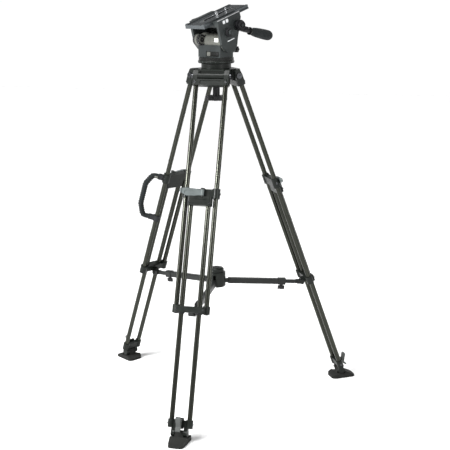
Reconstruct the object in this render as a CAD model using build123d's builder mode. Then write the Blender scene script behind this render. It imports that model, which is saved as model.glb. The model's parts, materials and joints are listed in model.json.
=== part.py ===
from build123d import *
import math
import os

# Video camera tripod with a 100 mm levelling bowl, a fluid pan and tilt head,
# twin-tube legs with one extension each and a telescopic mid-level spreader.
# Millimetres, +Z up. The front leg points to -Y and the feet stand on Z = 0.

os.makedirs("parts", exist_ok=True)

# ---------------------------------------------------------------- sizes
PAN_Y = 120.5            # the pan axis stands at X = 0, Y = PAN_Y
LEGS = {"front": 270.0, "left": 150.0, "right": 30.0}   # azimuth of each leg
LEG_ANGLE = 20.23        # spread of a leg from the vertical
LEG_R, LEG_Z = 59.5, 1102.5    # where a leg's tube plane passes the crown

TUBE_R, TUBE_WALL = 8.0, 1.5   # every leg tube is 16 mm round
OUTER_W = 49.5           # half spacing of the upper pair
INNER_W = 29.06          # half spacing of the lower pair
INNER_D = 8.2            # the lower pair runs this far outside the upper pair
PIN_S = 4.0              # leg hinge, measured down the leg
TUBE_TOP, TUBE_END = 18.0, 774.0
CLAMP_TOP = 375.0        # top of the sliding clamp
LOWER_END = 1128.0       # bottom end of the lower tubes
ANKLE_S = 1146.0         # ankle pin
RUN = 0.3                # gap between sliding surfaces
FIT = 0.08               # radial clearance of a hinge pin

BALL_Z, BALL_R = 1130.0, 50.0  # centre and radius of the levelling half ball
TILT_Z = 1206.0          # height of the tilt axis
PAN_AZ = 236.43          # the head faces this azimuth
TILT = 18.5              # the head is tipped forward by this angle
CHEEK_IN, CHEEK_OUT = 59.5, 69.5
TRUNNION = 66.0          # half length over the tilt trunnions
DRUM_E, DRUM_Z = 36.5, 1213.5  # axis of the counterbalance drum
GRIP_DROP = 29.1         # pan bar below the platform's plane
BAR_OFFSET = 11.0        # the bar leaves its disc this far below the centre
BAR_OUT = 11.0           # middle of the disc outside the cheek
LOCK_Z = 1182.0          # height of the pan brake
BLOCK_FRONT = 33.0       # front face of the pan body

SPREAD_S, SPREAD_D = 776.0, -18.0   # spreader pivot on the lower bracket
HUB_R, HUB_Z = 24.0, 395.0          # pivot circle of the spreader hub
ARM_OUT = 226.0          # length of the arm tube from the hub pivot


# ---------------------------------------------------------------- frames
def radial_frame(azimuth, r=0.0, z=0.0):
    """x points out along the azimuth, y is tangential, z is up."""
    a = math.radians(azimuth)
    out = Vector(math.cos(a), math.sin(a), 0)
    spot = Vector(0, PAN_Y, z) + out * r
    return Plane(origin=spot, x_dir=out, z_dir=(0, 0, 1))


def leg_frame(azimuth):
    """x points outward from the leg's face, y is tangential, z runs up the leg."""
    a = math.radians(azimuth)
    p = math.radians(LEG_ANGLE)
    spot = (LEG_R * math.cos(a), PAN_Y + LEG_R * math.sin(a), LEG_Z)
    face = (math.cos(a) * math.cos(p), math.sin(a) * math.cos(p), math.sin(p))
    up = (-math.cos(a) * math.sin(p), -math.sin(a) * math.sin(p), math.cos(p))
    return Plane(origin=spot, x_dir=face, z_dir=up)


def spot_of(frame, x, y, z):
    return frame.origin + frame.x_dir * x + frame.y_dir * y + frame.z_dir * z


def top(frame, x=0.0, y=0.0, z=0.0):
    """Sketch plane facing the frame's z; sketch x = frame x, sketch y = frame y."""
    return Plane(origin=spot_of(frame, x, y, z), x_dir=frame.x_dir, z_dir=frame.z_dir)


def side(frame, x=0.0, y=0.0, z=0.0):
    """Sketch plane across the frame's y; sketch x = frame x, sketch y = frame z."""
    return Plane(origin=spot_of(frame, x, y, z), x_dir=frame.x_dir, z_dir=-frame.y_dir)


def front(frame, x=0.0, y=0.0, z=0.0):
    """Sketch plane facing the frame's x; sketch x = frame y, sketch y = frame z."""
    return Plane(origin=spot_of(frame, x, y, z), x_dir=frame.y_dir, z_dir=frame.x_dir)


def arm_frame(azimuth):
    """Spreader arm: origin at the leg pivot, x runs to the hub pivot."""
    pivot = spot_of(leg_frame(azimuth), SPREAD_D, 0, -SPREAD_S)
    goal = spot_of(radial_frame(azimuth), HUB_R, 0, HUB_Z)
    along = (goal - pivot).normalized()
    across = radial_frame(azimuth).y_dir * -1
    return Plane(origin=pivot, x_dir=along, z_dir=along.cross(across))


def ankle_frame(azimuth):
    """Foot: origin on the floor below the ankle pin, x points outward."""
    pin = spot_of(leg_frame(azimuth), INNER_D, 0, -ANKLE_S)
    a = math.radians(azimuth)
    out = (math.cos(a), math.sin(a), 0)
    return Plane(origin=(pin.X, pin.Y, 0), x_dir=out, z_dir=(0, 0, 1)), pin.Z


HEAD = radial_frame(PAN_AZ)
_t = math.radians(TILT)
PLATFORM = Plane(
    origin=spot_of(HEAD, 0, 0, TILT_Z),
    x_dir=HEAD.x_dir * math.cos(_t) - HEAD.z_dir * math.sin(_t),
    z_dir=HEAD.x_dir * math.sin(_t) + HEAD.z_dir * math.cos(_t),
)
ARM_LEN = (
    spot_of(radial_frame(270), HUB_R, 0, HUB_Z)
    - spot_of(leg_frame(270), SPREAD_D, 0, -SPREAD_S)
).length

nodes = {}


def keep(part, name):
    part.label = name
    export_step(part, "parts/" + name + ".step")
    nodes[name] = part


# ---------------------------------------------------------------- crown
PIN_R = LEG_R + PIN_S * math.sin(math.radians(LEG_ANGLE))
PIN_Z = LEG_Z - PIN_S * math.cos(math.radians(LEG_ANGLE))
LUG_FACE = PIN_R + 8     # outer face of a crown lug


def ball_drop(radius, r):
    """Height of a sphere about the ball centre where its half width is r."""
    return BALL_Z - math.sqrt(radius * radius - r * r)


with BuildPart() as crown_casting:
    with BuildSketch(side(HEAD)) as crown_outline:
        with BuildLine():
            Polyline(
                (24, ball_drop(58, 24)),
                (34, ball_drop(58, 34)),
                (44, ball_drop(58, 44)),
                (60.5, 1093),
                (60.5, 1118),
                (58, 1121),
                (52, 1121),
                (24, 1121),
                (24, ball_drop(58, 24)),
            )
        make_face()
    revolve(axis=Axis((0, PAN_Y, 0), (0, 0, 1)))
    for azimuth in LEGS.values():
        lug = radial_frame(azimuth)
        with BuildSketch(side(lug)):
            with Locations((PIN_R, PIN_Z)):
                Circle(12)
            with Locations(((40 + PIN_R) / 2, PIN_Z)):
                Rectangle(PIN_R - 40, 24)
            with Locations(((40 + LUG_FACE) / 2, (PIN_Z + 1121) / 2)):
                Rectangle(LUG_FACE - 40, 1121 - PIN_Z)
        extrude(amount=43.5, both=True)
        with BuildSketch(side(lug)):
            with Locations((PIN_R, PIN_Z)):
                Circle(5.02)
        extrude(amount=50, both=True, mode=Mode.SUBTRACT)
        # shallow panel on the outer face of each lug
        with BuildSketch(front(lug, LUG_FACE, 0, 1106)):
            RectangleRounded(78, 19, 3)
        extrude(amount=-4, mode=Mode.SUBTRACT)
    with Locations((0, PAN_Y, BALL_Z)):
        Sphere(BALL_R + RUN, mode=Mode.SUBTRACT)
    with BuildSketch(top(HEAD, 0, 0, 1060)):
        Circle(24)
    extrude(amount=60, mode=Mode.SUBTRACT)
crown_casting.part.label = "crown_casting"
keep(crown_casting.part, "crown_casting")

with BuildPart() as leg_hinge_bolts:
    for azimuth in LEGS.values():
        lug = radial_frame(azimuth)
        with BuildSketch(side(lug)):
            with Locations((PIN_R, PIN_Z)):
                Circle(5.0)
        extrude(amount=61.6, both=True)
        for end in (-1, 1):
            with BuildSketch(side(lug, 0, end * 63.6, 0)):
                with Locations((PIN_R, PIN_Z)):
                    Circle(9)
            extrude(amount=2.2, both=True)
            with BuildSketch(side(lug, 0, end * 65.8, 0)):
                with Locations((PIN_R, PIN_Z)):
                    RegularPolygon(3.2, 6)
            extrude(amount=2.4, both=True, mode=Mode.SUBTRACT)
leg_hinge_bolts.part.label = "leg_hinge_bolts"
keep(leg_hinge_bolts.part, "leg_hinge_bolts")

# ---------------------------------------------------------------- levelling
with BuildPart() as clamp_cup:
    with BuildSketch(side(HEAD)):
        with BuildLine():
            cup_in = [(r, ball_drop(58.35, r)) for r in (17.5, 22, 26, 30, 34)]
            cup_out = [(r, ball_drop(64, r)) for r in (34, 30, 26, 22, 17.5)]
            Polyline(*cup_in, *cup_out, cup_in[0])
        make_face()
    revolve(axis=Axis((0, PAN_Y, 0), (0, 0, 1)))
clamp_cup.part.label = "clamp_cup"
keep(clamp_cup.part, "clamp_cup")

with BuildPart() as tie_down_knob:
    with BuildSketch(side(HEAD)):
        with BuildLine():
            seat = [(r, ball_drop(64.5, r)) for r in (6, 12, 18, 24)]
            Polyline(
                (0, 1022),
                (11.7, 1022),
                (11.7, 1058),
                (24, ball_drop(64.5, 24) - 4),
                *seat[::-1],
                (6, 1112),
                (0, 1112),
                (0, 1022),
            )
        make_face()
    revolve(axis=Axis((0, PAN_Y, 0), (0, 0, 1)))
    with BuildSketch(top(HEAD, 0, 0, 1016)):
        Circle(32)
        with PolarLocations(27.5, 8):
            Circle(9)
        with PolarLocations(39.5, 8, start_angle=22.5):
            Circle(6.5, mode=Mode.SUBTRACT)
    extrude(amount=15)
    fillet(tie_down_knob.faces().filter_by(Axis.Z).sort_by(Axis.Z)[0].outer_wire().edges(), 2.5)
tie_down_knob.part.label = "tie_down_knob"
keep(tie_down_knob.part, "tie_down_knob")

# ---------------------------------------------------------------- pan base
with BuildPart() as head_base:
    with BuildSketch(side(HEAD)):
        with BuildLine():
            ball_side = [(r, ball_drop(BALL_R, r)) for r in (36, 38, 40, 42, 44, 46, 48, 49.4)]
            Polyline(
                (6.07, 1095),
                (36, 1095),
                *ball_side,
                (49.4, 1138),
                (57, 1138),
                (60, 1140),
                (60, 1146),
                (59, 1147.4),
                (40, 1147.4),
                (40, 1157),
                (6.07, 1157),
                (6.07, 1095),
            )
        make_face()
    revolve(axis=Axis((0, PAN_Y, 0), (0, 0, 1)))
    with BuildSketch(top(HEAD, 0, 0, 1120)):
        Circle(9)
    extrude(amount=37)
head_base.part.label = "head_base"
keep(head_base.part, "head_base")

with BuildPart() as pan_drag_ring:
    with BuildSketch(top(HEAD, 0, 0, 1147.7)):
        Circle(58)
        Circle(40.4, mode=Mode.SUBTRACT)
        with PolarLocations(59.6, 36):
            Circle(2.3, mode=Mode.SUBTRACT)
    extrude(amount=9.1)
pan_drag_ring.part.label = "pan_drag_ring"
keep(pan_drag_ring.part, "pan_drag_ring")

# ---------------------------------------------------------------- pan body
with BuildPart() as pan_body:
    with BuildSketch(top(HEAD, 0, 0, 1157.3)):
        Circle(52)
    extrude(amount=23.7)
    chamfer(pan_body.faces().sort_by(Axis.Z)[-1].edges(), 3)
    # groove round the housing, and the flat that its block stands against
    with BuildSketch(top(HEAD, 0, 0, 1173)):
        Circle(52.6)
        Circle(51, mode=Mode.SUBTRACT)
    extrude(amount=1.2, mode=Mode.SUBTRACT)
    with BuildSketch(front(HEAD, BLOCK_FRONT - 3, 0, 1168)):
        Rectangle(130, 30)
    extrude(amount=30, mode=Mode.SUBTRACT)
    with BuildSketch(top(HEAD, BLOCK_FRONT - 30.5, 0, 1157.3)):
        RectangleRounded(61, 108, 4)
    extrude(amount=39.7)
    with BuildSketch(side(HEAD)):
        with Locations((0, TILT_Z)):
            Circle(30)
    extrude(amount=60, both=True, mode=Mode.SUBTRACT)
    with BuildSketch(side(HEAD, 0, -43, 0)):
        with Locations((DRUM_E, DRUM_Z)):
            Circle(18.6)
    extrude(amount=14.8, both=True, mode=Mode.SUBTRACT)
    # recessed panel on the front face
    with BuildSketch(front(HEAD, BLOCK_FRONT, 18.5, 1168)):
        RectangleRounded(63, 18, 3)
    extrude(amount=-2, mode=Mode.SUBTRACT)
    # boss that carries the pan brake
    with BuildSketch(front(HEAD, -28, 38, LOCK_Z)):
        Circle(10)
    extrude(amount=-15)
    with BuildSketch(front(HEAD, -44, 38, LOCK_Z)):
        Circle(4)
    extrude(amount=16, mode=Mode.SUBTRACT)
    # seat of the bubble level at the back
    with BuildSketch(top(HEAD, -41, -6, 1178)):
        Circle(9)
    extrude(amount=5.5)
    with BuildSketch(top(HEAD, -41, -6, 1179)):
        Circle(7)
    extrude(amount=6, mode=Mode.SUBTRACT)
pan_body.part.label = "pan_body"
keep(pan_body.part, "pan_body")

with BuildPart() as bubble_level:
    with BuildSketch(top(HEAD, -41, -6, 1179)):
        Circle(6.98)
    extrude(amount=5.8)
    fillet(bubble_level.faces().sort_by(Axis.Z)[-1].edges(), 1.6)
bubble_level.part.label = "bubble_level"
keep(bubble_level.part, "bubble_level")

with BuildPart() as tilt_housing:
    with BuildSketch(side(HEAD)):
        with Locations((0, TILT_Z)):
            Circle(30)
    extrude(amount=56.8, both=True)
    with BuildSketch(side(HEAD, 0, -42, 0)):
        with Locations((DRUM_E, DRUM_Z)):
            Circle(18.6)
    extrude(amount=13.8, both=True, mode=Mode.SUBTRACT)
    # end plate that carries the drum's spindle
    with BuildSketch(side(HEAD, 0, -57.1, 0)) as drum_plate:
        with Locations((0, TILT_Z)):
            Circle(30)
        with Locations((DRUM_E, DRUM_Z)):
            Circle(14)
        make_hull()
    extrude(amount=1.3, both=True)
    with BuildSketch(side(HEAD, 0, -42, 0)):
        with Locations((DRUM_E, DRUM_Z)):
            Circle(4)
    extrude(amount=14, both=True)
    # trunnions that the cheeks turn on
    with BuildSketch(side(HEAD)):
        with Locations((0, TILT_Z)):
            Circle(12)
    extrude(amount=TRUNNION, both=True)
    # lip of the scale window
    with BuildSketch(front(HEAD, 26, 34, 1213)):
        RectangleRounded(26, 19, 3)
    extrude(amount=5)
    with BuildSketch(front(HEAD, 31, 34, 1213)):
        RectangleRounded(21, 14, 2)
    extrude(amount=-1.2, mode=Mode.SUBTRACT)
tilt_housing.part.label = "tilt_housing"
keep(tilt_housing.part, "tilt_housing")

with BuildPart() as counterbalance_dial:
    with BuildSketch(side(HEAD, 0, -42, 0)):
        with Locations((DRUM_E, DRUM_Z)):
            Circle(17.9)
    extrude(amount=13.2, both=True)
    with BuildSketch(side(HEAD, 0, -42, 0)):
        with Locations((DRUM_E, DRUM_Z)):
            Circle(4.08)
    extrude(amount=20, both=True, mode=Mode.SUBTRACT)
    with BuildSketch(side(HEAD, 0, -28.8, 0)):
        with Locations((DRUM_E, DRUM_Z)):
            Circle(14.6)
            Circle(7, mode=Mode.SUBTRACT)
    extrude(amount=2.4, both=True, mode=Mode.SUBTRACT)
counterbalance_dial.part.label = "counterbalance_dial"
keep(counterbalance_dial.part, "counterbalance_dial")

with BuildPart() as pan_lock_knob:
    with BuildSketch(front(HEAD, -43.4, 38, LOCK_Z)):
        Circle(3.92)
    extrude(amount=10)
    with BuildSketch(front(HEAD, -43.4, 38, LOCK_Z)):
        Circle(7)
    extrude(amount=-5)
    with BuildSketch(front(HEAD, -48.4, 38, LOCK_Z)):
        Circle(9)
        with PolarLocations(8, 6):
            Circle(2.8)
    extrude(amount=-11)
pan_lock_knob.part.label = "pan_lock_knob"
keep(pan_lock_knob.part, "pan_lock_knob")

# ---------------------------------------------------------------- cradle
CHEEK = [
    (34, 64),
    (37, 6),
    (30.5, -8),
    (0, 0),
    (-29.5, -10),
    (-35, 2),
    (-58, 42),
    (-69, 64),
    (34, 64),
]
with BuildPart() as cradle:
    for hand in (-1, 1):
        middle = hand * (CHEEK_IN + CHEEK_OUT) / 2
        with BuildSketch(side(PLATFORM, 0, middle, 0)):
            with BuildLine():
                Polyline(*CHEEK)
            make_face()
            Circle(31)
        extrude(amount=(CHEEK_OUT - CHEEK_IN) / 2, both=True)
    with BuildSketch(top(PLATFORM, -18.5, 0, 62)):
        RectangleRounded(105, 139, 4)
    extrude(amount=19)
    # web behind the tilt housing, from cheek to cheek
    with BuildSketch(side(PLATFORM)):
        with Locations((-30.5, 41)):
            Rectangle(3, 46)
    extrude(amount=CHEEK_IN + 1, both=True)
    # channel that the sliding plate runs in, with dovetail sides
    with BuildSketch(front(PLATFORM, 0, 0, 0)):
        with BuildLine():
            Polyline((-48.4, 69.6), (48.4, 69.6), (46.4, 76), (46.4, 82), (-46.4, 82), (-46.4, 76), (-48.4, 69.6))
        make_face()
    extrude(amount=90, both=True, mode=Mode.SUBTRACT)
    # lightening pocket under the channel floor
    with BuildSketch(top(PLATFORM, -18, 0, 62)):
        RectangleRounded(70, 84, 6)
    extrude(amount=3.5, mode=Mode.SUBTRACT)
    # blind seats of the trunnions
    with BuildSketch(side(PLATFORM)):
        Circle(12 + FIT)
    extrude(amount=TRUNNION + 0.6, both=True, mode=Mode.SUBTRACT)
    # raised boss and rosette on the near cheek
    with BuildSketch(side(PLATFORM, 0, CHEEK_OUT + 1, 0)):
        with Locations((-46, 43)):
            Circle(14)
    extrude(amount=3, both=True)
    with BuildSketch(side(PLATFORM, 0, CHEEK_OUT + 4, 0)):
        with Locations((-46, 43)):
            with PolarLocations(12.5, 24):
                Circle(1.1)
    extrude(amount=1.2, both=True, mode=Mode.SUBTRACT)
    with BuildSketch(side(PLATFORM, 0, CHEEK_OUT + 0.5, 0)):
        with Locations((1, 35)):
            Circle(16)
    extrude(amount=2, both=True)
    # spindles of the tilt controls, the pan bar and the plate lock
    with BuildSketch(side(PLATFORM, 0, CHEEK_OUT + 12, 0)):
        with Locations((1, 35)):
            Circle(4)
    extrude(amount=12, both=True)
    with BuildSketch(side(PLATFORM, 0, CHEEK_OUT + 13, 0)):
        with Locations((-46, 43)):
            Circle(4)
    extrude(amount=13, both=True)
    with BuildSketch(side(PLATFORM, 0, -CHEEK_OUT - 5, 0)):
        with Locations((10, 72)):
            Circle(3)
    extrude(amount=7, both=True)
cradle.part.label = "cradle"
keep(cradle.part, "cradle")

with BuildPart() as index_strip:
    with BuildSketch(top(PLATFORM, -18.5, 65, 81)):
        RectangleRounded(101, 8, 1)
    extrude(amount=1.6)
    with BuildSketch(top(PLATFORM, -18.5, 67.5, 81.9)):
        with GridLocations(5, 1, 19, 1):
            Rectangle(0.9, 3.4)
    extrude(amount=2, mode=Mode.SUBTRACT)
index_strip.part.label = "index_strip"
keep(index_strip.part, "index_strip")

with BuildPart() as tilt_drag_knob:
    with BuildSketch(side(PLATFORM, 0, CHEEK_OUT + 8, 0)):
        with Locations((1, 35)):
            Circle(14)
            with PolarLocations(14.6, 14):
                Circle(1.6, mode=Mode.SUBTRACT)
            Circle(4 + FIT, mode=Mode.SUBTRACT)
    extrude(amount=5.2, both=True)
tilt_drag_knob.part.label = "tilt_drag_knob"
keep(tilt_drag_knob.part, "tilt_drag_knob")

with BuildPart() as tilt_lock_lever:
    with BuildSketch(side(PLATFORM, 0, CHEEK_OUT + 17, 0)):
        with Locations((1, 35)):
            Circle(9)
        with BuildLine():
            Polyline((1, 44), (-22, 35), (-24, 27.5), (-2, 26.5), (1, 44))
        make_face()
        with Locations((1, 35)):
            Circle(4 + FIT, mode=Mode.SUBTRACT)
    extrude(amount=3.2, both=True)
    with BuildSketch(side(PLATFORM, 0, CHEEK_OUT + 20.6, 0)):
        with Locations((1, 35)):
            Circle(9)
    extrude(amount=0.6, both=True, mode=Mode.ADD)
    with BuildSketch(side(PLATFORM, 0, CHEEK_OUT + 16, 0)):
        with Locations((1, 35)):
            Circle(4 + FIT)
    extrude(amount=8.3, both=True, mode=Mode.SUBTRACT)
tilt_lock_lever.part.label = "tilt_lock_lever"
keep(tilt_lock_lever.part, "tilt_lock_lever")

with BuildPart() as plate_lock_lever:
    with BuildSketch(side(PLATFORM, 0, -CHEEK_OUT - 5.6, 0)):
        with Locations((10, 72)):
            Circle(8)
        with BuildLine():
            Polyline((10, 80), (-26, 77), (-30, 73), (-26, 68), (10, 64), (10, 80))
        make_face()
        with Locations((10, 72)):
            Circle(3 + FIT, mode=Mode.SUBTRACT)
    extrude(amount=4.5, both=True)
plate_lock_lever.part.label = "plate_lock_lever"
keep(plate_lock_lever.part, "plate_lock_lever")

# ---------------------------------------------------------------- camera plate
PLATE_MID = -29.5
with BuildPart() as camera_plate:
    with BuildSketch(front(PLATFORM, PLATE_MID, 0, 0)):
        with BuildLine():
            Polyline(
                (-47.9, 70),
                (47.9, 70),
                (46.0, 76),
                (46.0, 83.3),
                (37, 83.3),
                (36, 82),
                (-36, 82),
                (-37, 83.3),
                (-46.0, 83.3),
                (-46.0, 76),
                (-47.9, 70),
            )
        make_face()
    extrude(amount=101.5, both=True)
    # long slot for the camera screws, stepped for their heads
    with BuildSketch(top(PLATFORM, PLATE_MID - 8, 0, 69)):
        SlotOverall(150, 22)
    extrude(amount=7, mode=Mode.SUBTRACT)
    with BuildSketch(top(PLATFORM, PLATE_MID - 8, 0, 69)):
        SlotOverall(140, 12)
    extrude(amount=16, mode=Mode.SUBTRACT)
    # bumps at the front corners
    with BuildSketch(top(PLATFORM, PLATE_MID + 96, 0, 76)):
        with GridLocations(1, 82, 1, 2):
            RectangleRounded(10, 9, 3)
    extrude(amount=9)
    # grooves of the anti-slip face
    with BuildSketch(top(PLATFORM, PLATE_MID, 0, 81.2)):
        with Locations((-2, 25), (-2, -25)):
            with GridLocations(14, 1, 12, 1):
                Rectangle(2.0, 14)
    extrude(amount=2, mode=Mode.SUBTRACT)
camera_plate.part.label = "camera_plate"
keep(camera_plate.part, "camera_plate")

SCREWS = ((-30.5, 4.76), (-72.0, 3.15))
with BuildPart() as camera_screws:
    for x, r in SCREWS:
        with BuildSketch(top(PLATFORM, x, 0, 71)):
            Circle(9.5)
            Rectangle(20, 2, mode=Mode.SUBTRACT)
        extrude(amount=2.4)
        with BuildSketch(top(PLATFORM, x, 0, 72.6)):
            Circle(9.5)
        extrude(amount=3.3)
        with BuildSketch(top(PLATFORM, x, 0, 75)):
            Circle(r)
        extrude(amount=18.3)
camera_screws.part.label = "camera_screws"
keep(camera_screws.part, "camera_screws")

# ---------------------------------------------------------------- pan bar
_g = math.radians(GRIP_DROP)
BAR = Plane(
    origin=spot_of(PLATFORM, -46, CHEEK_OUT + BAR_OUT, 43),
    x_dir=PLATFORM.x_dir * -math.cos(_g) - PLATFORM.z_dir * math.sin(_g),
    z_dir=PLATFORM.z_dir * math.cos(_g) - PLATFORM.x_dir * math.sin(_g),
)
with BuildPart() as pan_bar:
    with BuildSketch(side(BAR)):
        Circle(17)
    extrude(amount=6.4, both=True)
    with BuildSketch(side(BAR)):
        with Locations((16, 2 - BAR_OFFSET)):
            Rectangle(36, 18)
    extrude(amount=6.4, both=True)
    with BuildSketch(front(BAR, 20, 0, -BAR_OFFSET)):
        Circle(8)
    extrude(amount=52)
    with BuildSketch(side(BAR)):
        Circle(4 + FIT)
    extrude(amount=12, both=True, mode=Mode.SUBTRACT)
pan_bar.part.label = "pan_bar"
keep(pan_bar.part, "pan_bar")

BAR_LINE = Plane(
    origin=spot_of(BAR, 0, 0, -BAR_OFFSET),
    x_dir=BAR.x_dir,
    z_dir=BAR.z_dir,
)
with BuildPart() as pan_bar_grip:
    with BuildSketch(side(BAR_LINE)):
        with BuildLine():
            Line((50, 0), (50, 11))
            Spline((50, 11), (62, 13.2), (95, 16.3), (125, 17.0), (140, 14.6), (149, 0),
                   tangents=((1, 0.1), (0, -1)))
            Line((149, 0), (50, 0))
        make_face()
    revolve(axis=Axis(BAR_LINE.origin, BAR_LINE.x_dir))
    with BuildSketch(front(BAR_LINE, 50, 0, 0)):
        Circle(8)
    extrude(amount=22.1, mode=Mode.SUBTRACT)
pan_bar_grip.part.label = "pan_bar_grip"
keep(pan_bar_grip.part, "pan_bar_grip")

with BuildPart() as pan_bar_knob:
    with BuildSketch(side(PLATFORM, 0, CHEEK_OUT + 21, 0)):
        with Locations((-46, 43)):
            Circle(13.5)
            with PolarLocations(13.9, 18):
                Circle(1.4, mode=Mode.SUBTRACT)
            Circle(4 + FIT, mode=Mode.SUBTRACT)
    extrude(amount=3.2, both=True)
    # dished outer face
    with BuildSketch(side(PLATFORM, 0, CHEEK_OUT + 24.2, 0)):
        with Locations((-46, 43)):
            Circle(10.5)
            Circle(6, mode=Mode.SUBTRACT)
    extrude(amount=1.6, both=True, mode=Mode.SUBTRACT)
pan_bar_knob.part.label = "pan_bar_knob"
keep(pan_bar_knob.part, "pan_bar_knob")


# ---------------------------------------------------------------- legs
def tube_pair(frame, half, out, s0, s1):
    with BuildPart() as tubes:
        with BuildSketch(top(frame, out, 0, -s1)):
            with Locations((0, half), (0, -half)):
                Circle(TUBE_R)
                Circle(TUBE_R - TUBE_WALL, mode=Mode.SUBTRACT)
        extrude(amount=s1 - s0)
    return tubes.part


def leg_casting(frame):
    """Fork at the top of a leg: two ears on the hinge bolt and a cross bar."""
    with BuildPart() as casting:
        for hand in (-1, 1):
            with BuildSketch(side(frame, 0, hand * 52.2, 0)):
                with Locations((0, -PIN_S)):
                    Circle(12)
                with Locations((1, 10)):
                    Circle(9)
                make_hull()
                with Locations((0, -19)):
                    Rectangle(24, 30)
            extrude(amount=8.2, both=True)
        with BuildSketch(top(frame, 0, 0, -37)):
            RectangleRounded(26, 121, 8)
        extrude(amount=20)
        with BuildSketch(front(frame, 14, 0, -27)):
            RectangleRounded(70, 11, 3)
        extrude(amount=-3, mode=Mode.SUBTRACT)
        with BuildSketch(top(frame, 0, 0, -40)):
            with Locations((0, OUTER_W), (0, -OUTER_W)):
                Circle(TUBE_R)
        extrude(amount=40 - TUBE_TOP, mode=Mode.SUBTRACT)
        with BuildSketch(side(frame)):
            with Locations((0, -PIN_S)):
                Circle(5 + FIT)
        extrude(amount=70, both=True, mode=Mode.SUBTRACT)
    return casting.part


def lower_bracket(frame):
    """Guide at the foot of the upper tubes; it carries the spreader pivot."""
    with BuildPart() as bracket:
        with BuildSketch(top(frame, 0, 0, -776)):
            with Locations((0, OUTER_W), (0, -OUTER_W)):
                Circle(12)
        extrude(amount=26)
        with BuildSketch(top(frame, 6.5, 0, -774)):
            RectangleRounded(27, 99, 6)
        extrude(amount=20)
        with BuildSketch(side(frame)):
            with Locations((SPREAD_D, -SPREAD_S)):
                Circle(8)
            with Locations((SPREAD_D + 8, -768)):
                Rectangle(16, 14)
            make_hull()
        extrude(amount=7, both=True)
        with BuildSketch(side(frame)):
            with Locations((SPREAD_D, -SPREAD_S)):
                Circle(3)
        extrude(amount=13, both=True)
        with BuildSketch(top(frame, 0, 0, -TUBE_END)):
            with Locations((0, OUTER_W), (0, -OUTER_W)):
                Circle(TUBE_R)
        extrude(amount=40, mode=Mode.SUBTRACT)
        with BuildSketch(top(frame, INNER_D, 0, -790)):
            with Locations((0, INNER_W), (0, -INNER_W)):
                Circle(TUBE_R + RUN)
        extrude(amount=50, mode=Mode.SUBTRACT)
    return bracket.part


def clamp_block(frame):
    """Sliding yoke: collars on the upper tubes, sockets for the lower tubes."""
    with BuildPart() as block:
        with BuildSketch(top(frame, 0, 0, -(CLAMP_TOP + 32))):
            with Locations((0, OUTER_W), (0, -OUTER_W)):
                Circle(12.5)
        extrude(amount=32)
        with BuildSketch(top(frame, 1, 0, -(CLAMP_TOP + 30))):
            Rectangle(18, 84)
        extrude(amount=27)
        with BuildSketch(top(frame, 9, 0, -(CLAMP_TOP + 58))):
            RectangleRounded(24, 81.6, 8)
        extrude(amount=30)
        # knuckles and pin of the clamp lever
        for s0, s1 in ((376, 381), (401, 406)):
            with BuildSketch(top(frame, 17, 8, -s1)):
                Circle(6)
                with Locations((-5, 0)):
                    Rectangle(10, 12)
            extrude(amount=s1 - s0)
        with BuildSketch(top(frame, 17, 8, -403)):
            Circle(2.5)
        extrude(amount=25)
        # ribs on the face of the socket block
        with BuildSketch(front(frame, 21, 0, -(CLAMP_TOP + 44))):
            with Locations((0, 5), (0, -5)):
                RectangleRounded(56, 3, 1)
        extrude(amount=-1.5, mode=Mode.SUBTRACT)
        with BuildSketch(top(frame, 0, 0, -440)):
            with Locations((0, OUTER_W), (0, -OUTER_W)):
                Circle(TUBE_R + RUN)
        extrude(amount=80, mode=Mode.SUBTRACT)
        with BuildSketch(top(frame, INNER_D, 0, -440)):
            with Locations((0, INNER_W), (0, -INNER_W)):
                Circle(TUBE_R)
        extrude(amount=31, mode=Mode.SUBTRACT)
    return block.part


def clamp_lever(frame):
    with BuildPart() as lever:
        with BuildSketch(front(frame, 13.6, 0, 0)):
            with BuildLine():
                Polyline(
                    (7, -381.4),
                    (-4, -381.4),
                    (-16, -379),
                    (-44, -377),
                    (-62, -379),
                    (-68, -385),
                    (-68, -390),
                    (-44, -402.4),
                    (-16, -402.2),
                    (-4, -400.6),
                    (7, -400.6),
                    (7, -381.4),
                )
            make_face()
        extrude(amount=6)
        with BuildSketch(top(frame, 17, 8, -400.6)):
            Circle(6)
        extrude(amount=19.2)
        with BuildSketch(top(frame, 17, 8, -402)):
            Circle(2.5 + FIT)
        extrude(amount=22, mode=Mode.SUBTRACT)
        # thumb rest at the free end
        with BuildSketch(top(frame, 19.6, -63, -392)):
            Circle(3.2)
        extrude(amount=12)
        # oval relief
        with BuildSketch(front(frame, 19.6, -34, -391)):
            SlotOverall(36, 13)
        extrude(amount=-1.6, mode=Mode.SUBTRACT)
    return lever.part


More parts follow.
